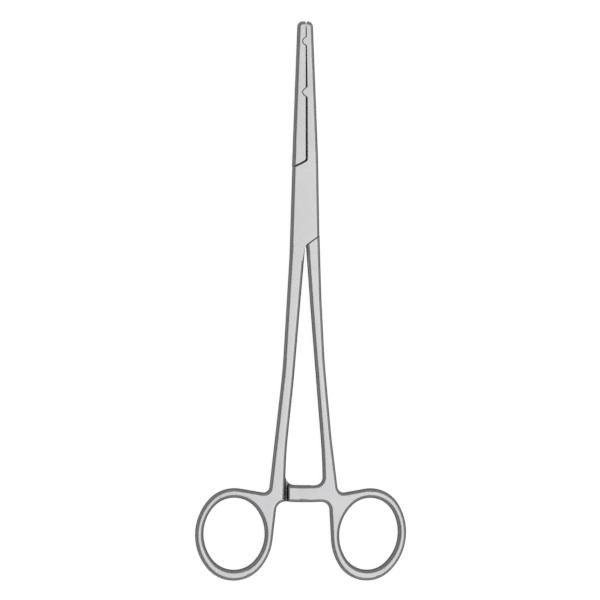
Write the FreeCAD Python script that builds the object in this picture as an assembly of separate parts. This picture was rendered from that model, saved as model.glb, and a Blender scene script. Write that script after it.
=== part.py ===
import FreeCAD, Part
import math
import os

# Straight hysterectomy forceps with a box lock, closed and lying flat.
# The jaws point to +Y, the lock pin stands on the Z axis and the lock's underside lies on Z = 0.
# All sizes are millimetres. The box half holds the right jaw and the left ring.

# Lengths, thicknesses and widths
JAW_LENGTH = 68.0
PIN_TO_BAR = 106.2
CROTCH_Y = -19.9
LOCK_THICKNESS = 6.0
TIP_THICKNESS = 3.4
RING_THICKNESS = 5.0
LOCK_FLAT_HALF_LENGTH = 17.5
SHANK_TAPER_END_Y = -64.0

# Rounding of the outline, the long edges and the tapers
SHANK_BEND_RADIUS = 200.0
TAPER_BLEND_RADIUS = 400.0
LONG_EDGE_ROUND = 1.4
RING_BORE_ROUND = 1.55
TIP_CORNER_ROUND = 2.1

# Outer edges of the jaws
RIGHT_STUB_X = 5.5
RIGHT_STUB_Y = -22.0
RIGHT_HEEL_X = 4.84
RIGHT_HEEL_Y = 17.5
LEFT_HEEL_X = 5.04
LEFT_HEEL_Y = 10.0
TIP_HALF_WIDTH = 2.87

# Lock: slot, tongue, hub and pin
SLOT_HEIGHT = 2.2
TONGUE_CLEARANCE = 0.05
HUB_RADIUS = 3.2
HUB_CLEARANCE = 0.1
OPEN_LIMIT_DEG = 32.0
TONGUE_INSET = 0.15
PIN_DIAMETER = 3.0
PIN_HEAD_DIAMETER = 3.9
PIN_HEAD_DEPTH = 0.6
PIN_CLEARANCE = 0.04

# Upper seam, where the left jaw leaves the box
UPPER_SEAM_LEFT_Y = 12.72
UPPER_SEAM_RIGHT_Y = 15.65
UPPER_SEAM_SAG = 0.2
UPPER_SEAM_GAP = 0.65
UPPER_ARMPIT_ROUND = 1.2
JAW_HEEL_ROUND = 0.8

# Lower seam, where the right shank leaves the box
LOWER_SEAM_RIGHT_X = 5.4
LOWER_SEAM_RIGHT_Y = -12.0
LOWER_SEAM_KNEE_X = 4.6
LOWER_SEAM_KNEE_Y = -12.9
LOWER_SEAM_LEFT_Y = -16.25
LOWER_SEAM_GAP = 0.3
LOWER_KNEE_ROUND = 1.2
LOWER_ARMPIT_ROUND = 3.6

# Meeting faces of the jaws
JAW_FACE_X = 0.27
JAW_GAP_HEEL = 0.68
JAW_GAP_REAR = 0.6
JAW_GAP_TIP = 0.22
TIP_NOTCH_DEPTH = 0.8
TIP_NOTCH_HALF_WIDTH = 0.42
GROOVE_START_Y = 21.0
GROOVE_DEPTH = 0.3
GROOVE_HALF_WIDTH = 0.3

# Heights of the grooves, as shares of the jaw's half thickness above the middle
RIGHT_GROOVES = [-0.5, 0.0, 0.5]
LEFT_GROOVES = [-0.75, -0.25, 0.25, 0.75]

# Two teeth of the right jaw, seated in the left jaw
TOOTH_HEIGHT = 1.16
TOOTH_ROUND = 1.2
TOOTH_FLANK_DEG = 38.0
TOOTH_CLEARANCE = 0.18
FRONT_TOOTH_FROM_TIP = 7.5
REAR_TOOTH_FROM_TIP = 26.65

# Ratchet bars, curved around the pin
BAR_WIDTH = 6.3
BAR_END_ROUND = 0.5
BAR_ROOT_ROUND = 3.0
LOWER_BAR_END_X = 2.4
UPPER_BAR_END_X = -6.2
RATCHET_PITCH = 1.6
LOWER_RATCHET_TEETH = 6
UPPER_RATCHET_TEETH = 4
RATCHET_TOOTH_HEIGHT = 0.85
RATCHET_CLEARANCE = 0.2
RATCHET_LASH = 0.1

# Finger rings
RING_BAND_SIDE = 3.1
RING_BAND_END = 3.7
RING_BAND_DROP = 0.2
RING_FILLET = 2.3
RING_BELOW_BAR = 11.9
RING_HALF_LENGTH = 13.6
BOX_RING_X = 26.7
BOX_RING_HALF_WIDTH = 11.5
BOX_RING_LEAN_DEG = 92.0
TONGUE_RING_X = 23.8
TONGUE_RING_HALF_WIDTH = 10.95
TONGUE_RING_LEAN_DEG = 81.5

# Bends of the shanks: distance from the middle line, then share of the way from the crotch to the bar
BOX_OUTER_EDGE = [(5.84, 0.0), (8.44, 0.5)]
BOX_INNER_EDGE = [(0.3, 0.0), (4.28, 0.545), (7.12, 0.855)]
TONGUE_OUTER_EDGE = [(6.09, 0.18), (7.31, 0.46), (9.94, 0.8)]
TONGUE_INNER_EDGE = [(0.6, 0.0), (2.3, 0.275), (6.4, 0.875)]

# Where the shanks meet the bars and rings, as distances from the middle line
BOX_ROOT_X = 7.5
BOX_FOOT_X = 13.68
BOX_WEB_X = 10.5
TONGUE_ROOT_X = 6.6
TONGUE_FOOT_X = 12.45
TONGUE_WEB_X = 8.95

# Ends of the handles inside the lock, before the seams trim them
BOX_HEAD = [(-0.85, -6.0), (1.0, 20.0), (4.6, 20.0)]
TONGUE_HEAD = [(-0.25, -8.0), (5.3, -8.0)]

# Values that follow from the sizes above
MIDDLE_Z = LOCK_THICKNESS / 2.0
TONGUE_THICKNESS = SLOT_HEIGHT - 2.0 * TONGUE_CLEARANCE
RIGHT_FACE_HEEL_X = JAW_FACE_X + JAW_GAP_HEEL
FRONT_TOOTH_Y = JAW_LENGTH - FRONT_TOOTH_FROM_TIP
REAR_TOOTH_Y = JAW_LENGTH - REAR_TOOTH_FROM_TIP
BAR_OUTER_RADIUS = PIN_TO_BAR + BAR_WIDTH
FULL_TURN = 2.0 * math.pi
BEYOND = 60.0
ROOT_ROUND_RATIO = 1.15
ROOT_MARGIN = 0.5

# Slopes up to which a face is level and from which it is a wall, and how near a line counts as on it
LEVEL_UP_TO_DEG = 25.0
WALL_FROM_DEG = 78.0
NEAR = 0.05


def at(x, y, z=0.0):
    return FreeCAD.Vector(x, y, z)


def arc(start, middle, end):
    return Part.Arc(start, middle, end).toShape()


def path(points):
    return [Part.makeLine(first, second) for first, second in zip(points, points[1:])]


def rounded_path(corners, radii):
    """Straight edges through the corners, with each inner corner rounded to its own radius."""
    edges = []
    start = corners[0]
    for before, corner, after, radius in zip(corners, corners[1:], corners[2:], radii):
        back = (before - corner).normalize()
        ahead = (after - corner).normalize()
        half_angle = back.getAngle(ahead) / 2.0
        reach = radius / math.tan(half_angle)
        bisector = (back + ahead).normalize()
        first = corner + back * reach
        last = corner + ahead * reach
        middle = corner + bisector * (radius / math.sin(half_angle) - radius)
        edges.append(Part.makeLine(start, first))
        edges.append(arc(first, middle, last))
        start = last
    edges.append(Part.makeLine(start, corners[-1]))
    return edges


def turned(vector, degrees):
    return FreeCAD.Rotation(at(0, 0, 1), degrees).multVec(vector)


def filled(edges):
    return Part.Face(Part.Wire(Part.__sortEdges__(edges)))


def prism(edges, bottom, top):
    face = filled(edges)
    face.translate(at(0, 0, bottom))
    return face.extrude(at(0, 0, top - bottom))


def through(edges):
    return prism(edges, MIDDLE_Z - LOCK_THICKNESS, MIDDLE_Z + LOCK_THICKNESS)


def space(corners, radii=()):
    """Upright space through the whole thickness, with its first inner corners rounded."""
    turns = len(radii) + 2
    return through(rounded_path(corners[:turns], radii) + path(corners[turns - 1:] + [corners[0]]))


def lower_copy(solid):
    return solid.mirror(at(0, 0, MIDDLE_Z), at(0, 0, 1))


def left_copy(solid):
    return solid.mirror(at(0, 0, 0), at(1, 0, 0))


def join(first, *others):
    return first.fuse(list(others)).removeSplitter()


def both_layers(solid):
    return join(solid, lower_copy(solid))


def round_uprights(solid, places, radius):
    """Rounds the upright edge nearest to each of the given places."""
    uprights = []
    for edge in solid.Edges:
        low = edge.Vertexes[0].Point
        high = edge.Vertexes[-1].Point
        if math.hypot(low.x - high.x, low.y - high.y) < NEAR < abs(low.z - high.z):
            uprights.append(edge)
    chosen = []
    for place in places:
        chosen.append(min(uprights, key=lambda edge: math.hypot(
            edge.Vertexes[0].X - place.x, edge.Vertexes[0].Y - place.y)))
    return solid.makeFillet(radius, chosen)


def slope_deg(face, spot):
    u, v = face.Surface.parameter(spot)
    return math.degrees(math.acos(min(1.0, abs(face.normalAt(u, v).z))))


def rim_edges(solid, keep):
    """Edges between a level upper face and a wall, where keep(spot) is true."""
    chosen = []
    for edge in solid.Edges:
        spot = edge.valueAt((edge.FirstParameter + edge.LastParameter) / 2.0)
        if spot.z < MIDDLE_Z + TIP_THICKNESS / 4.0 or not keep(spot):
            continue
        slopes = sorted(slope_deg(face, spot) for face in solid.ancestorsOfType(edge, Part.Face))
        if len(slopes) == 2 and slopes[0] < LEVEL_UP_TO_DEG and slopes[1] > WALL_FROM_DEG:
            chosen.append(edge)
    return chosen


def envelope():
    """Space above the middle plane and under the tapered upper faces."""
    lock_half = LOCK_THICKNESS / 2.0
    ring_half = RING_THICKNESS / 2.0
    tip_half = TIP_THICKNESS / 2.0
    ring_end = -BAR_OUTER_RADIUS - BEYOND
    tip_slope = (lock_half - tip_half) / (JAW_LENGTH - LOCK_FLAT_HALF_LENGTH)
    tip_end = JAW_LENGTH + TIP_CORNER_ROUND
    corners = [
        at(-BEYOND, ring_end, MIDDLE_Z + ring_half),
        at(-BEYOND, SHANK_TAPER_END_Y, MIDDLE_Z + ring_half),
        at(-BEYOND, -LOCK_FLAT_HALF_LENGTH, MIDDLE_Z + lock_half),
        at(-BEYOND, LOCK_FLAT_HALF_LENGTH, MIDDLE_Z + lock_half),
        at(-BEYOND, tip_end, MIDDLE_Z + tip_half - tip_slope * TIP_CORNER_ROUND),
    ]
    edges = rounded_path(corners, [TAPER_BLEND_RADIUS] * 3)
    edges += path([corners[-1], at(-BEYOND, tip_end, MIDDLE_Z), at(-BEYOND, ring_end, MIDDLE_Z), corners[0]])
    return filled(edges).extrude(at(2.0 * BEYOND, 0, 0))


ENVELOPE = envelope()


class Oval:
    """Closed outline of four tangent arcs. A turn is the angle that the outline faces."""

    def __init__(self, centre, half_length, half_width, lean_deg):
        diagonal = math.hypot(half_length, half_width)
        excess = half_length - half_width
        end_radius = diagonal * (diagonal - excess) / (2.0 * half_length)
        side_radius = diagonal * (diagonal + excess) / (2.0 * half_width)
        shift = half_length - end_radius
        drop = side_radius - half_width
        joint = math.atan2(drop, shift)
        lean = math.radians(lean_deg)
        self.start = lean - joint
        self.arcs = []
        for first, last, offset, radius in (
                (-joint, joint, at(shift, 0), end_radius),
                (joint, math.pi - joint, at(0, -drop), side_radius),
                (math.pi - joint, math.pi + joint, at(-shift, 0), end_radius),
                (math.pi + joint, FULL_TURN - joint, at(0, drop), side_radius)):
            self.arcs.append((first + lean, last + lean, centre + turned(offset, lean_deg), radius))

    def edges(self, start, end):
        """The outline from one turn on to a larger one."""
        made = []
        for lap in (-FULL_TURN, 0.0, FULL_TURN):
            for first, last, middle, radius in self.arcs:
                low = max(first + lap, start)
                high = min(last + lap, end)
                if high - low > 1e-6:
                    spots = [middle + at(math.cos(turn), math.sin(turn)) * radius
                             for turn in (low, (low + high) / 2.0, high)]
                    made.append(arc(*spots))
        return made

    def touch(self, place, hand):
        """Turn and point where a straight line from the place touches the outline on one hand."""
        for first, last, middle, radius in self.arcs:
            offset = place - middle
            if offset.Length <= radius:
                continue
            turn = math.atan2(offset.y, offset.x) + hand * math.acos(radius / offset.Length)
            past_first = (turn - first) % FULL_TURN
            if past_first <= last - first:
                return first + past_first, middle + at(math.cos(turn), math.sin(turn)) * radius


def on_circle(radius, x):
    """Point of a circle around the pin, on the ring side."""
    return at(x, -math.sqrt(radius ** 2 - x ** 2))


def on_shank(station):
    """Point from a distance and a share of the way from the crotch to the bar."""
    return at(station[0], CROTCH_Y - station[1] * (PIN_TO_BAR + CROTCH_Y))


class Handle:
    """Shank, ratchet bar and finger ring of one half, drawn on the right-hand side."""

    def __init__(self, head, outer, inner, root_x, foot_x, web_x, bar_end_x):
        self.head = [at(x, y) for x, y in head]
        self.outer = [on_shank(station) for station in outer]
        self.inner = [on_shank(station) for station in inner]
        self.root_x = root_x
        self.bar_end_x = bar_end_x
        self.blank_end_x = bar_end_x - BAR_WIDTH
        self.foot = at(foot_x, -PIN_TO_BAR - BAR_WIDTH / 2.0)
        self.web = on_circle(BAR_OUTER_RADIUS, web_x)
        self.bar_root = on_circle(PIN_TO_BAR, root_x)
        self.bar_outer_end = on_circle(BAR_OUTER_RADIUS, self.blank_end_x)
        self.bar_inner_end = on_circle(PIN_TO_BAR, self.blank_end_x)
        self.root_round = max(BAR_ROOT_ROUND, ROOT_ROUND_RATIO * (web_x - root_x))

    def set_ring(self, x, half_width, lean_deg):
        self.centre = at(x, -BAR_OUTER_RADIUS - RING_BELOW_BAR)
        self.half_width = half_width
        self.lean_deg = lean_deg
        self.bore = Oval(self.centre, RING_HALF_LENGTH, half_width, lean_deg)
        self.ring = Oval(self.centre - at(0, RING_BAND_DROP), RING_HALF_LENGTH + RING_BAND_END,
                         half_width + RING_BAND_SIDE, lean_deg)

    def outline(self):
        top_turn, top_touch = self.ring.touch(self.foot, -1)
        side_turn, side_touch = self.ring.touch(self.web, 1)
        if side_turn > top_turn:
            side_turn -= FULL_TURN
        outer = [self.head[-1]] + self.outer + [self.foot, top_touch]
        edges = rounded_path(outer, [SHANK_BEND_RADIUS] * len(self.outer) + [RING_FILLET])
        edges += self.ring.edges(side_turn, top_turn)
        edges += path([side_touch, self.web])
        edges.append(self.bar_arc(self.web, self.bar_outer_end, BAR_OUTER_RADIUS))
        edges += path([self.bar_outer_end, self.bar_inner_end])
        edges.append(self.bar_arc(self.bar_inner_end, self.bar_root, PIN_TO_BAR))
        inner = [self.bar_root] + list(reversed(self.inner))
        edges += rounded_path(inner, [SHANK_BEND_RADIUS] * (len(self.inner) - 1))
        return edges + path([self.inner[0]] + self.head)

    def bar_arc(self, start, end, radius):
        return arc(start, on_circle(radius, (start.x + end.x) / 2.0), end)

    def layer(self, with_bar):
        """The handle above the middle plane, with its upper rim rounded."""
        solid = prism(self.outline(), MIDDLE_Z, MIDDLE_Z + LOCK_THICKNESS)
        solid = round_uprights(solid, [self.web, self.bar_root], self.root_round)
        if not with_bar:
            solid = solid.cut(self.bar_space())
        solid = solid.cut(through(self.bore.edges(self.bore.start, self.bore.start + FULL_TURN)))
        solid = solid.common(ENVELOPE)
        solid = solid.makeFillet(RING_BORE_ROUND, rim_edges(solid, self.on_bore))
        rim = rim_edges(solid, lambda spot: self.on_rim(spot) and not self.on_bore(spot))
        solid = solid.makeFillet(LONG_EDGE_ROUND, rim)
        return self.end_bar(solid) if with_bar else solid

    def end_bar(self, solid):
        """Cuts the bar to its length and rounds its end."""
        far_x = self.blank_end_x - BAR_WIDTH
        high = -PIN_TO_BAR + BAR_WIDTH
        low = -BAR_OUTER_RADIUS - BAR_WIDTH
        solid = solid.cut(space([
            at(self.bar_end_x, high), at(self.bar_end_x, low), at(far_x, low), at(far_x, high)]))
        ends = []
        for edge in solid.Edges:
            box = edge.BoundBox
            off_end = max(abs(box.XMax - self.bar_end_x), abs(box.XMin - self.bar_end_x))
            if off_end < NEAR and box.ZMax > MIDDLE_Z + NEAR:
                ends.append(edge)
        return solid.makeFillet(BAR_END_ROUND, ends)

    def bar_space(self):
        """Space around the bar, up to the line of the shank's inner edge."""
        run = (self.bar_root - self.inner[-1]).normalize()
        high = self.bar_root - run * (self.root_round + ROOT_MARGIN)
        low = self.bar_root + run * 2.0 * BAR_WIDTH
        past_end = self.blank_end_x - BAR_WIDTH
        return space([low, high, at(past_end, high.y), at(past_end, low.y)])

    def on_bore(self, spot):
        offset = turned(at(spot.x, spot.y) - self.centre, -self.lean_deg)
        mid_length = RING_HALF_LENGTH + RING_BAND_END / 2.0
        mid_width = self.half_width + RING_BAND_SIDE / 2.0
        return math.hypot(offset.x / mid_length, offset.y / mid_width) < 1.0

    def on_rim(self, spot):
        """False on the ends that the lock hides or the bar is cut from, which stay sharp."""
        if spot.x < self.blank_end_x + NEAR:
            return False
        for first, second in zip(self.head, self.head[1:]):
            run = second - first
            offset = at(spot.x, spot.y) - first
            if abs(offset.cross(run).z) < NEAR * run.Length and 0 < offset.dot(run) < run.Length ** 2:
                return False
        return True


BOX_HANDLE = Handle(BOX_HEAD, BOX_OUTER_EDGE, BOX_INNER_EDGE, BOX_ROOT_X, BOX_FOOT_X, BOX_WEB_X,
                    -LOWER_BAR_END_X)
BOX_HANDLE.set_ring(BOX_RING_X, BOX_RING_HALF_WIDTH, BOX_RING_LEAN_DEG)
TONGUE_HANDLE = Handle(TONGUE_HEAD, TONGUE_OUTER_EDGE, TONGUE_INNER_EDGE, TONGUE_ROOT_X, TONGUE_FOOT_X,
                       TONGUE_WEB_X, UPPER_BAR_END_X)
TONGUE_HANDLE.set_ring(TONGUE_RING_X, TONGUE_RING_HALF_WIDTH, TONGUE_RING_LEAN_DEG)


def jaw_blank(outer, side, heel_y):
    """A jaw with its outer rims rounded, still solid past the middle line."""
    tip = at(side * TIP_HALF_WIDTH, JAW_LENGTH)
    past_tip = at(-side * TIP_HALF_WIDTH, JAW_LENGTH)
    past_heel = at(-side * TIP_HALF_WIDTH, heel_y)
    edges = rounded_path(outer + [tip, past_tip], [SHANK_BEND_RADIUS] * (len(outer) - 1) + [TIP_CORNER_ROUND])
    edges += path([past_tip, past_heel, outer[0]])
    solid = prism(edges, MIDDLE_Z, MIDDLE_Z + LOCK_THICKNESS).common(ENVELOPE)

    def on_outside(spot):
        on_tip = spot.y > JAW_LENGTH - TIP_CORNER_ROUND
        return on_tip or (side * spot.x > TIP_HALF_WIDTH / 2.0 and spot.y > heel_y + NEAR)

    return both_layers(solid.makeFillet(LONG_EDGE_ROUND, rim_edges(solid, on_outside)))


def left_edge_point(y):
    """Point of the left jaw's outer edge."""
    share = (y - LEFT_HEEL_Y) / (JAW_LENGTH - LEFT_HEEL_Y)
    return at(-LEFT_HEEL_X + share * (LEFT_HEEL_X - TIP_HALF_WIDTH), y)


def upper_seam(shift):
    """Ends and middle of the seam above the box, moved towards the jaws by the shift."""
    left = at(-LEFT_HEEL_X, UPPER_SEAM_LEFT_Y)
    right = at(RIGHT_FACE_HEEL_X, UPPER_SEAM_RIGHT_Y)
    run = (right - left).normalize()
    normal = at(-run.y, run.x)
    middle = (left + right) / 2.0 - normal * UPPER_SEAM_SAG
    return left + normal * shift, middle + normal * shift, right + normal * shift


def above_upper_seam(shift):
    left, middle, right = upper_seam(shift)
    slope = (right.y - left.y) / (right.x - left.x)
    far_left = left - at(BEYOND, BEYOND * slope)
    far_right = right + at(BEYOND, BEYOND * slope)
    top = JAW_LENGTH + BEYOND
    edges = [arc(left, middle, right)]
    edges += path([right, far_right, at(far_right.x, top), at(far_left.x, top), far_left, left])
    return through(edges)


def lower_seam(shift):
    """Left end, knee and right end of the seam below the box, moved towards the rings."""
    run = at(LOWER_SEAM_KNEE_X, LOWER_SEAM_KNEE_Y - LOWER_SEAM_LEFT_Y).normalize()
    normal = at(run.y, -run.x)
    left = at(0, LOWER_SEAM_LEFT_Y) + normal * shift
    knee = at(LOWER_SEAM_KNEE_X, LOWER_SEAM_KNEE_Y) + normal * shift
    right = at(LOWER_SEAM_RIGHT_X, LOWER_SEAM_RIGHT_Y) + normal * shift
    return left, knee, right


def right_face_point(y):
    """Point of the right jaw's meeting face, which bends at the rear tooth."""
    low, high = (RIGHT_FACE_HEEL, RIGHT_FACE_BEND) if y < REAR_TOOTH_Y else (RIGHT_FACE_BEND, RIGHT_FACE_TIP)
    return low + (high - low) * ((y - low.y) / (high.y - low.y))


RIGHT_FACE_HEEL = at(RIGHT_FACE_HEEL_X, UPPER_SEAM_RIGHT_Y)
RIGHT_FACE_BEND = at(JAW_FACE_X + JAW_GAP_REAR, REAR_TOOTH_Y)
RIGHT_FACE_TIP = at(JAW_FACE_X + JAW_GAP_TIP, JAW_LENGTH)


def jaw_half_thickness(y):
    share = (y - LOCK_FLAT_HALF_LENGTH) / (JAW_LENGTH - LOCK_FLAT_HALF_LENGTH)
    return (LOCK_THICKNESS + share * (TIP_THICKNESS - LOCK_THICKNESS)) / 2.0


def grooves(tip, root, side, shares):
    """Lengthwise V grooves at shares of the half thickness, which fan out with the jaw."""
    cuts = []
    for share in shares:
        start = tip + at(0, 0, MIDDLE_Z + share * jaw_half_thickness(tip.y))
        end = root + at(0, 0, MIDDLE_Z + share * jaw_half_thickness(root.y))
        bottom = start + at(side * GROOVE_DEPTH, 0)
        upper_lip = start + at(-side * GROOVE_DEPTH, 0, 2.0 * GROOVE_HALF_WIDTH)
        lower_lip = start + at(-side * GROOVE_DEPTH, 0, -2.0 * GROOVE_HALF_WIDTH)
        face = Part.Face(Part.makePolygon([bottom, upper_lip, lower_lip, bottom]))
        cuts.append(face.extrude(end - start))
    return cuts


def tooth(y, grow):
    """Tooth with a round crest and slanted flanks, grown outwards by the clearance."""
    centre = at(JAW_FACE_X - TOOTH_HEIGHT + TOOTH_ROUND, y)
    radius = TOOTH_ROUND + grow
    flank = turned(at(1.0, 0), TOOTH_FLANK_DEG)
    touch = centre + turned(flank, 90.0) * radius
    back = touch + flank * ((RIGHT_FACE_HEEL_X - touch.x) / flank.x)
    lower_touch = at(touch.x, 2.0 * y - touch.y)
    lower_back = at(back.x, 2.0 * y - back.y)
    edges = [arc(touch, centre - at(radius, 0), lower_touch)] + path([lower_touch, lower_back, back, touch])
    solid = prism(edges, MIDDLE_Z, LOCK_THICKNESS)
    return both_layers(solid.common(ENVELOPE))


def tip_notch():
    """Small V where the two tips meet."""
    middle_x = JAW_FACE_X + JAW_GAP_TIP / 2.0
    top = JAW_LENGTH + TIP_NOTCH_DEPTH
    bottom = at(middle_x, JAW_LENGTH - TIP_NOTCH_DEPTH)
    right_lip = at(middle_x + 2.0 * TIP_NOTCH_HALF_WIDTH, top)
    left_lip = at(middle_x - 2.0 * TIP_NOTCH_HALF_WIDTH, top)
    return space([bottom, right_lip, left_lip])


def tongue_corners():
    """Where the edges of the tongue leave the left jaw and the right shank."""
    upper_left, _, upper_right = upper_seam(UPPER_SEAM_GAP)
    lower_left, _, lower_right = lower_seam(LOWER_SEAM_GAP)
    jaw_left = left_edge_point(upper_left.y + TONGUE_INSET) + at(TONGUE_INSET, 0)
    jaw_right = at(JAW_FACE_X, upper_right.y)
    shank_right = at(lower_right.x - 2.0 * TONGUE_INSET, lower_right.y - TONGUE_INSET)
    shank_left = at(TONGUE_INNER_EDGE[0][0] - TONGUE_INSET, lower_left.y)
    return jaw_left, jaw_right, shank_right, shank_left


def tongue():
    """Thin band through the box, its round hub and the pin's hole."""
    jaw_left, jaw_right, shank_right, shank_left = tongue_corners()
    corners = [
        jaw_left, left_edge_point(jaw_left.y + 2.0 * HUB_RADIUS) + at(2.0 * TONGUE_INSET, 0),
        jaw_right + at(-3.0 * TONGUE_INSET, HUB_RADIUS), jaw_right,
        shank_right, shank_right + at(-TONGUE_INSET, -HUB_RADIUS),
        shank_left + at(3.0 * TONGUE_INSET, -HUB_RADIUS), shank_left,
    ]
    low = MIDDLE_Z - TONGUE_THICKNESS / 2.0
    band = prism(path(corners + [corners[0]]), low, low + TONGUE_THICKNESS)
    hub = Part.makeCylinder(HUB_RADIUS, TONGUE_THICKNESS, at(0, 0, low))
    hole = Part.makeCylinder(PIN_DIAMETER / 2.0 + PIN_CLEARANCE, LOCK_THICKNESS)
    return band, hub, hole


def stop_corner(start, end, outward):
    """Corner and run of a side wall: along the tongue when shut, and along it at the open limit."""
    run = (end - start).normalize()
    reach = abs(start.cross(end).z) / (end - start).Length + HUB_CLEARANCE
    normal = at(run.y, -run.x) * outward
    open_normal = turned(normal, OPEN_LIMIT_DEG)
    corner = (normal + open_normal) * (reach / (1.0 + normal.dot(open_normal)))
    return corner, turned(run, OPEN_LIMIT_DEG)


def slot():
    """Room inside the box for the tongue at every angle; its slanted ends are the open stops."""
    jaw_left, jaw_right, shank_right, shank_left = tongue_corners()
    right_corner, right_run = stop_corner(jaw_right, shank_right, -1)
    left_corner, left_run = stop_corner(shank_left, jaw_left, -1)
    upper_right = upper_seam(0)[2]
    lower_left = lower_seam(0)[0]
    corners = [
        upper_right, right_corner, right_corner + right_run * BEYOND,
        lower_left, left_corner, left_corner + left_run * BEYOND,
    ]
    low = MIDDLE_Z - SLOT_HEIGHT / 2.0
    band = prism(path(corners + [corners[0]]), low, low + SLOT_HEIGHT)
    return [band, Part.makeCylinder(HUB_RADIUS + HUB_CLEARANCE, SLOT_HEIGHT, at(0, 0, low))]


def lock_pin():
    shaft = Part.makeCylinder(PIN_DIAMETER / 2.0, LOCK_THICKNESS)
    flare = Part.makeCone(PIN_HEAD_DIAMETER / 2.0, PIN_DIAMETER / 2.0, PIN_HEAD_DEPTH)
    return join(shaft, flare, lower_copy(flare))


def ratchet_space(first_crest, teeth, wall_x, end_x, up):
    """Room between the two bars: saw teeth with their steep faces against each other."""
    crest = MIDDLE_Z + up * RATCHET_CLEARANCE / 2.0
    root = crest + up * RATCHET_TOOTH_HEIGHT
    past = MIDDLE_Z - up * RATCHET_TOOTH_HEIGHT
    ahead = 1.0 if end_x > wall_x else -1.0
    points = [at(wall_x, 0, past), at(wall_x, 0, root), at(first_crest, 0, root)]
    for index in range(teeth):
        x = first_crest + index * ahead * RATCHET_PITCH
        points += [at(x, 0, crest), at(x + ahead * RATCHET_PITCH, 0, root)]
    past_end = end_x + ahead * RATCHET_PITCH
    points += [at(past_end, 0, root), at(past_end, 0, past)]
    face = Part.Face(Part.makePolygon(points + [points[0]]))
    face.translate(at(0, -BAR_OUTER_RADIUS - BAR_WIDTH, 0))
    return face.extrude(at(0, 3.0 * BAR_WIDTH, 0))


def box_half():
    """Right jaw, box, left shank, lower ratchet bar and left ring."""
    handle = left_copy(join(BOX_HANDLE.layer(False), lower_copy(BOX_HANDLE.layer(True))))
    first_crest = LOWER_BAR_END_X - LOWER_RATCHET_TEETH * RATCHET_PITCH
    handle = handle.cut(ratchet_space(first_crest, LOWER_RATCHET_TEETH, -BOX_ROOT_X, LOWER_BAR_END_X, -1))
    stub = at(RIGHT_STUB_X, RIGHT_STUB_Y)
    blank = jaw_blank([stub, at(RIGHT_HEEL_X, RIGHT_HEEL_Y)], 1, RIGHT_STUB_Y)
    left, knee, right = lower_seam(0)
    inside = at(-3.0 * LOWER_SEAM_GAP, RIGHT_STUB_Y)
    far_right = right + (right - knee) * BEYOND
    blank = blank.cut(space(
        [far_right, knee, left, inside, at(inside.x, -BEYOND), at(far_right.x, -BEYOND)],
        [LOWER_KNEE_ROUND, LOWER_ARMPIT_ROUND]))
    body = join(handle, blank)
    face_low = right_face_point(0)
    face_high = right_face_point(JAW_LENGTH + BEYOND)
    gap = space([face_low, RIGHT_FACE_BEND, face_high, at(-BEYOND, face_high.y), at(-BEYOND, face_low.y)])
    gap = gap.common(above_upper_seam(0))
    gap = round_uprights(gap, [upper_seam(0)[2]], UPPER_ARMPIT_ROUND)
    body = body.cut([gap, tip_notch(), lock_pin()] + slot())
    for tip_y, root_y in ((JAW_LENGTH + GROOVE_DEPTH, REAR_TOOTH_Y), (REAR_TOOTH_Y, GROOVE_START_Y)):
        body = body.cut(grooves(right_face_point(tip_y), right_face_point(root_y), 1, RIGHT_GROOVES))
    return join(body, tooth(FRONT_TOOTH_Y, 0), tooth(REAR_TOOTH_Y, 0))


def tongue_half():
    """Left jaw, tongue, right shank, upper ratchet bar and right ring."""
    handle = join(TONGUE_HANDLE.layer(True), lower_copy(TONGUE_HANDLE.layer(False)))
    first_crest = LOWER_BAR_END_X - RATCHET_PITCH - RATCHET_LASH
    handle = handle.cut(ratchet_space(first_crest, UPPER_RATCHET_TEETH, TONGUE_ROOT_X, UPPER_BAR_END_X, 1))
    left, knee, right = lower_seam(LOWER_SEAM_GAP)
    far_right = right + (right - knee) * BEYOND
    far_left = left + (left - knee) * BEYOND
    handle = handle.cut(space(
        [far_left, knee, far_right, at(far_right.x, BEYOND), at(far_left.x, BEYOND)], [LOWER_KNEE_ROUND]))
    blank = jaw_blank([at(-LEFT_HEEL_X, LEFT_HEEL_Y)], -1, LEFT_HEEL_Y)
    face_low = at(JAW_FACE_X, 0)
    face_high = at(JAW_FACE_X, JAW_LENGTH + BEYOND)
    blank = blank.common(above_upper_seam(UPPER_SEAM_GAP))
    blank = blank.cut(space([face_low, face_high, at(BEYOND, face_high.y), at(BEYOND, face_low.y)]))
    blank = round_uprights(blank, [at(JAW_FACE_X, UPPER_SEAM_RIGHT_Y)], JAW_HEEL_ROUND)
    sockets = [tooth(y, TOOTH_CLEARANCE) for y in (FRONT_TOOTH_Y, REAR_TOOTH_Y)]
    blank = blank.cut([tip_notch()] + sockets)
    groove_end = at(JAW_FACE_X, JAW_LENGTH + GROOVE_DEPTH)
    blank = blank.cut(grooves(groove_end, at(JAW_FACE_X, GROOVE_START_Y), -1, LEFT_GROOVES))
    band, hub, hole = tongue()
    return join(blank, handle, band, hub).cut(hole)


os.makedirs("parts", exist_ok=True)
for name, shape in (("box_half", box_half()), ("tongue_half", tongue_half()), ("lock_pin", lock_pin())):
    shape.exportStep("parts/" + name + ".step")
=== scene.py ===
import bpy
import math
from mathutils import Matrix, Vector

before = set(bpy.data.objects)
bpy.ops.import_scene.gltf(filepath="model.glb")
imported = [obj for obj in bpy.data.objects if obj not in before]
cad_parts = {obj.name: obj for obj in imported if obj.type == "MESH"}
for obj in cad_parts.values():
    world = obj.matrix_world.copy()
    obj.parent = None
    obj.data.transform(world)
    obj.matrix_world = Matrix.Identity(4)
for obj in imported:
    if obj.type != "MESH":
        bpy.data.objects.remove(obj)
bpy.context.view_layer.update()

MM = 0.001

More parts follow.
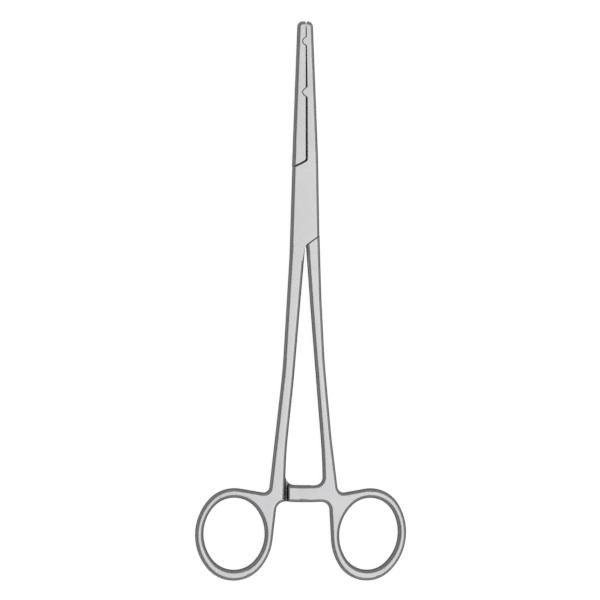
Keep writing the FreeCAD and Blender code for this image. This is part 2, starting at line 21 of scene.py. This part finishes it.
# Camera: straight down on the closed forceps, as in the photograph
VIEW_CENTRE = Vector((-1.915 * MM, -36.61 * MM, 3.0 * MM))
VIEW_WIDTH = 225.3 * MM
CAMERA_HEIGHT = 1.2
SENSOR_WIDTH = 36.0

# Light: one soft box, seen from the forceps from these slants off the vertical
SOFTBOX_HEIGHT = 1.6
SOFTBOX_LEFT_DEG = -10.5
SOFTBOX_RIGHT_DEG = 45.0
SOFTBOX_RINGS_DEG = -36.0
SOFTBOX_TIPS_DEG = 24.0
SOFTBOX_RADIANCE = 1.06

# Surroundings that the metal mirrors: dark above, paler low down
WORLD_GREY = 0.17
HORIZON_GREY = 0.42
HORIZON_DEG = 40.0

# Floor: its own grey, and the glow that makes it white to the camera
FLOOR_SIZE = 6.0
FLOOR_GREY = 0.35
FLOOR_GLOW = 0.9

# Painted shade: gaps narrower than this, from the crotch to the tips, show less of the glow
GAP_REACH = 6.0 * MM
GAP_SHUT = 0.3
GAP_OPEN = 0.5
GAP_SAMPLES = 16
CROTCH_Y = -16.0 * MM

# Painted shade on the near floor, seen only in the metal: it mirrors none of the glow within the
# inner distance, and all of it past the outer one
SHADE_INNER = 130.0 * MM
SHADE_OUTER = 350.0 * MM

# Steel: two tones in soft clouds
METALLIC = 0.9
STEEL_LIGHT = (0.645, 0.645, 0.654, 1.0)
STEEL_DARK = (0.595, 0.595, 0.607, 1.0)
CLOUD_SCALE = 90.0
CLOUD_ALL_DARK = 0.3
CLOUD_ALL_LIGHT = 0.75

# Polishing marks: drawn out along the forceps, in the gloss and as a faint relief
GRAIN_SCALE = (9000.0, 700.0, 9000.0)
GRAIN_TURN_DEG = 3.0
GRAIN_DEPTH = 0.02 * MM
GRAIN_STRENGTH = 0.07
ROUGHNESS_MIN = 0.22
ROUGHNESS_MAX = 0.32

# Painted shade: the steel's colour darkens in crevices where it is shut in within this reach
CREVICE_REACH = 2.5 * MM
CREVICE_SHUT = 0.15
CREVICE_OPEN = 0.6
CREVICE_SAMPLES = 16

# Sharp edges are broken this far in the look of the steel, save round the flush pin
BROKEN_EDGE = 0.3 * MM
BROKEN_EDGE_SAMPLES = 8
PIN_REACH = 4.0 * MM


def tree_of(owner):
    """The emptied node tree of a material or a world."""
    owner.use_nodes = True
    tree = owner.node_tree
    tree.nodes.clear()
    return tree


def add(tree, kind, **values):
    """A new node, with its settings and the default values of its sockets."""
    node = tree.nodes.new(kind)
    for name, value in values.items():
        if name in node.inputs:
            node.inputs[name].default_value = value
        else:
            setattr(node, name, value)
    return node


def combine(tree, operation, first, second):
    """Arithmetic on two values, each a socket or a number."""
    node = add(tree, "ShaderNodeMath", operation=operation)
    for index, value in enumerate((first, second)):
        if isinstance(value, float):
            node.inputs[index].default_value = value
        else:
            tree.links.new(value, node.inputs[index])
    return node.outputs["Value"]


def rescale(tree, value, **limits):
    """A value carried from one range to another, both 0 to 1 where the limits don't say."""
    node = add(tree, "ShaderNodeMapRange")
    for name, limit in limits.items():
        node.inputs[name.replace("_", " ").title()].default_value = limit
    tree.links.new(value, node.inputs["Value"])
    return node.outputs["Result"]


def openness(tree, reach, shut, fully_open, samples):
    """1 where a surface lies open and 0 where it is shut in within the reach."""
    shade = add(tree, "ShaderNodeAmbientOcclusion", samples=samples, Distance=reach)
    return rescale(tree, shade.outputs["AO"], from_min=shut, from_max=fully_open)


def steel_colour(tree, place):
    """Cloudy grey, with painted shade that darkens it in crevices."""
    link = tree.links.new
    clouds = add(tree, "ShaderNodeTexNoise", Scale=CLOUD_SCALE, Detail=4.0, Roughness=0.6)
    link(place, clouds.inputs["Vector"])
    tones = add(tree, "ShaderNodeValToRGB")
    dark, light = tones.color_ramp.elements
    dark.position = CLOUD_ALL_DARK
    dark.color = STEEL_DARK
    light.position = CLOUD_ALL_LIGHT
    light.color = STEEL_LIGHT
    link(clouds.outputs["Fac"], tones.inputs["Fac"])
    # Painted shade: the colour is dimmed where the steel is shut in
    painted_shade_colour = add(tree, "ShaderNodeVectorMath", operation="SCALE")
    link(tones.outputs["Color"], painted_shade_colour.inputs[0])
    clear = openness(tree, CREVICE_REACH, CREVICE_SHUT, CREVICE_OPEN, CREVICE_SAMPLES)
    link(clear, painted_shade_colour.inputs["Scale"])
    return painted_shade_colour.outputs["Vector"]


def polishing_marks(tree, place, grain_turn):
    """Fine marks, from 0 to 1, drawn out along the forceps."""
    stretch = add(tree, "ShaderNodeMapping", Rotation=(0.0, 0.0, grain_turn), Scale=GRAIN_SCALE)
    tree.links.new(place, stretch.inputs["Vector"])
    marks = add(tree, "ShaderNodeTexNoise", Scale=1.0, Detail=3.0, Roughness=0.55)
    tree.links.new(stretch.outputs["Vector"], marks.inputs["Vector"])
    return marks.outputs["Fac"]


def broken_edges(tree, place):
    """The way the surface faces with its sharp edges broken, save round the flush pin."""
    across = add(tree, "ShaderNodeVectorMath", operation="MULTIPLY")
    across.inputs[1].default_value = (1.0, 1.0, 0.0)
    tree.links.new(place, across.inputs[0])
    from_pin = add(tree, "ShaderNodeVectorMath", operation="LENGTH")
    tree.links.new(across.outputs["Vector"], from_pin.inputs[0])
    past_pin = combine(tree, "GREATER_THAN", from_pin.outputs["Value"], PIN_REACH)
    bevel = add(tree, "ShaderNodeBevel", samples=BROKEN_EDGE_SAMPLES)
    tree.links.new(combine(tree, "MULTIPLY", past_pin, BROKEN_EDGE), bevel.inputs["Radius"])
    return bevel.outputs["Normal"]


def satin_steel(name, grain_turn):
    """Glass-beaded stainless steel: fine grain, faint cloudiness, soft polishing marks and painted
    shade in crevices.
    """
    material = bpy.data.materials.new(name)
    tree = tree_of(material)
    link = tree.links.new
    place = add(tree, "ShaderNodeTexCoord").outputs["Object"]
    marks = polishing_marks(tree, place, grain_turn)
    bump = add(tree, "ShaderNodeBump", Strength=GRAIN_STRENGTH, Distance=GRAIN_DEPTH)
    link(broken_edges(tree, place), bump.inputs["Normal"])
    link(marks, bump.inputs["Height"])
    shader = add(tree, "ShaderNodeBsdfPrincipled", Metallic=METALLIC)
    link(steel_colour(tree, place), shader.inputs["Base Color"])
    link(rescale(tree, marks, to_min=ROUGHNESS_MIN, to_max=ROUGHNESS_MAX), shader.inputs["Roughness"])
    link(bump.outputs["Normal"], shader.inputs["Normal"])
    output = add(tree, "ShaderNodeOutputMaterial")
    link(shader.outputs["BSDF"], output.inputs["Surface"])
    return material


def floor_glow(tree):
    """How much the floor glows: to the camera save in narrow gaps, and in the metal only far off;
    both holes in the glow are painted shade.
    """
    ray = add(tree, "ShaderNodeLightPath")
    place = add(tree, "ShaderNodeTexCoord").outputs["Object"]
    axes = add(tree, "ShaderNodeSeparateXYZ")
    tree.links.new(place, axes.inputs["Vector"])
    past_crotch = combine(tree, "LESS_THAN", axes.outputs["Y"], CROTCH_Y)
    # Painted shade: the glow is held back in narrow gaps
    painted_gap_shade_mask = openness(tree, GAP_REACH, GAP_SHUT, GAP_OPEN, GAP_SAMPLES)
    clear = combine(tree, "MAXIMUM", painted_gap_shade_mask, past_crotch)
    seen = combine(tree, "MULTIPLY", clear, ray.outputs["Is Camera Ray"])
    distance = add(tree, "ShaderNodeVectorMath", operation="DISTANCE")
    distance.inputs[1].default_value = VIEW_CENTRE
    tree.links.new(place, distance.inputs[0])
    # Painted shade in the metal: the floor close by is mirrored without its glow
    far = rescale(tree, distance.outputs["Value"], from_min=SHADE_INNER, from_max=SHADE_OUTER)
    mirrored = combine(tree, "MULTIPLY", far, ray.outputs["Is Glossy Ray"])
    return combine(tree, "MULTIPLY", combine(tree, "ADD", seen, mirrored), FLOOR_GLOW)


def floor_material():
    """Pale floor that keeps the shadow and looks white to the camera and in the metal."""
    material = bpy.data.materials.new("pale_floor")
    tree = tree_of(material)
    link = tree.links.new
    diffuse = add(tree, "ShaderNodeBsdfDiffuse", Color=(FLOOR_GREY, FLOOR_GREY, FLOOR_GREY, 1.0))
    glow = add(tree, "ShaderNodeEmission")
    link(floor_glow(tree), glow.inputs["Strength"])
    both = add(tree, "ShaderNodeAddShader")
    link(diffuse.outputs["BSDF"], both.inputs[0])
    link(glow.outputs["Emission"], both.inputs[1])
    output = add(tree, "ShaderNodeOutputMaterial")
    link(both.outputs["Shader"], output.inputs["Surface"])
    return material


def make_floor():
    half = FLOOR_SIZE / 2.0
    mesh = bpy.data.meshes.new("floor")
    corners = [(-half, -half, 0.0), (half, -half, 0.0), (half, half, 0.0), (-half, half, 0.0)]
    mesh.from_pydata(corners, [], [(0, 1, 2, 3)])
    floor = bpy.data.objects.new("floor", mesh)
    bpy.context.collection.objects.link(floor)
    mesh.materials.append(floor_material())


def slant_reach(slant_deg):
    """How far from the middle a slanted line meets the soft box."""
    return SOFTBOX_HEIGHT * math.tan(math.radians(slant_deg))


def make_softbox():
    left = slant_reach(SOFTBOX_LEFT_DEG)
    right = slant_reach(SOFTBOX_RIGHT_DEG)
    rings = slant_reach(SOFTBOX_RINGS_DEG)
    tips = slant_reach(SOFTBOX_TIPS_DEG)
    lamp = bpy.data.lights.new("softbox", "AREA")
    lamp.shape = "RECTANGLE"
    lamp.size = right - left
    lamp.size_y = tips - rings
    lamp.energy = SOFTBOX_RADIANCE * math.pi * lamp.size * lamp.size_y
    softbox = bpy.data.objects.new("softbox", lamp)
    middle_x = VIEW_CENTRE.x + (left + right) / 2.0
    middle_y = VIEW_CENTRE.y + (rings + tips) / 2.0
    softbox.location = (middle_x, middle_y, SOFTBOX_HEIGHT)
    bpy.context.collection.objects.link(softbox)


def make_surroundings():
    world = bpy.data.worlds.new("studio")
    tree = tree_of(world)
    link = tree.links.new
    place = add(tree, "ShaderNodeTexCoord").outputs["Generated"]
    axes = add(tree, "ShaderNodeSeparateXYZ")
    link(place, axes.inputs["Vector"])
    top = math.sin(math.radians(HORIZON_DEG))
    grey = rescale(tree, axes.outputs["Z"], from_max=top, to_min=HORIZON_GREY, to_max=WORLD_GREY)
    ray = add(tree, "ShaderNodeLightPath")
    sky = add(tree, "ShaderNodeBackground", Color=(1.0, 1.0, 1.0, 1.0))
    link(combine(tree, "MAXIMUM", grey, ray.outputs["Is Camera Ray"]), sky.inputs["Strength"])
    output = add(tree, "ShaderNodeOutputWorld")
    link(sky.outputs["Background"], output.inputs["Surface"])
    bpy.context.scene.world = world


def make_camera():
    data = bpy.data.cameras.new("camera")
    data.sensor_width = SENSOR_WIDTH
    data.lens = SENSOR_WIDTH * (CAMERA_HEIGHT - VIEW_CENTRE.z) / VIEW_WIDTH
    camera = bpy.data.objects.new("camera", data)
    camera.location = (VIEW_CENTRE.x, VIEW_CENTRE.y, CAMERA_HEIGHT)
    bpy.context.collection.objects.link(camera)
    bpy.context.scene.camera = camera


def dress_nodes():
    """The solids keep their shapes and get the steel."""
    for index, (name, node) in enumerate(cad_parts.items()):
        steel = satin_steel(name + "_satin", math.radians(GRAIN_TURN_DEG * index))
        for slot in node.material_slots:
            slot.material = steel


make_floor()
make_softbox()
make_surroundings()
make_camera()
dress_nodes()
bpy.context.scene.view_settings.view_transform = "Standard"
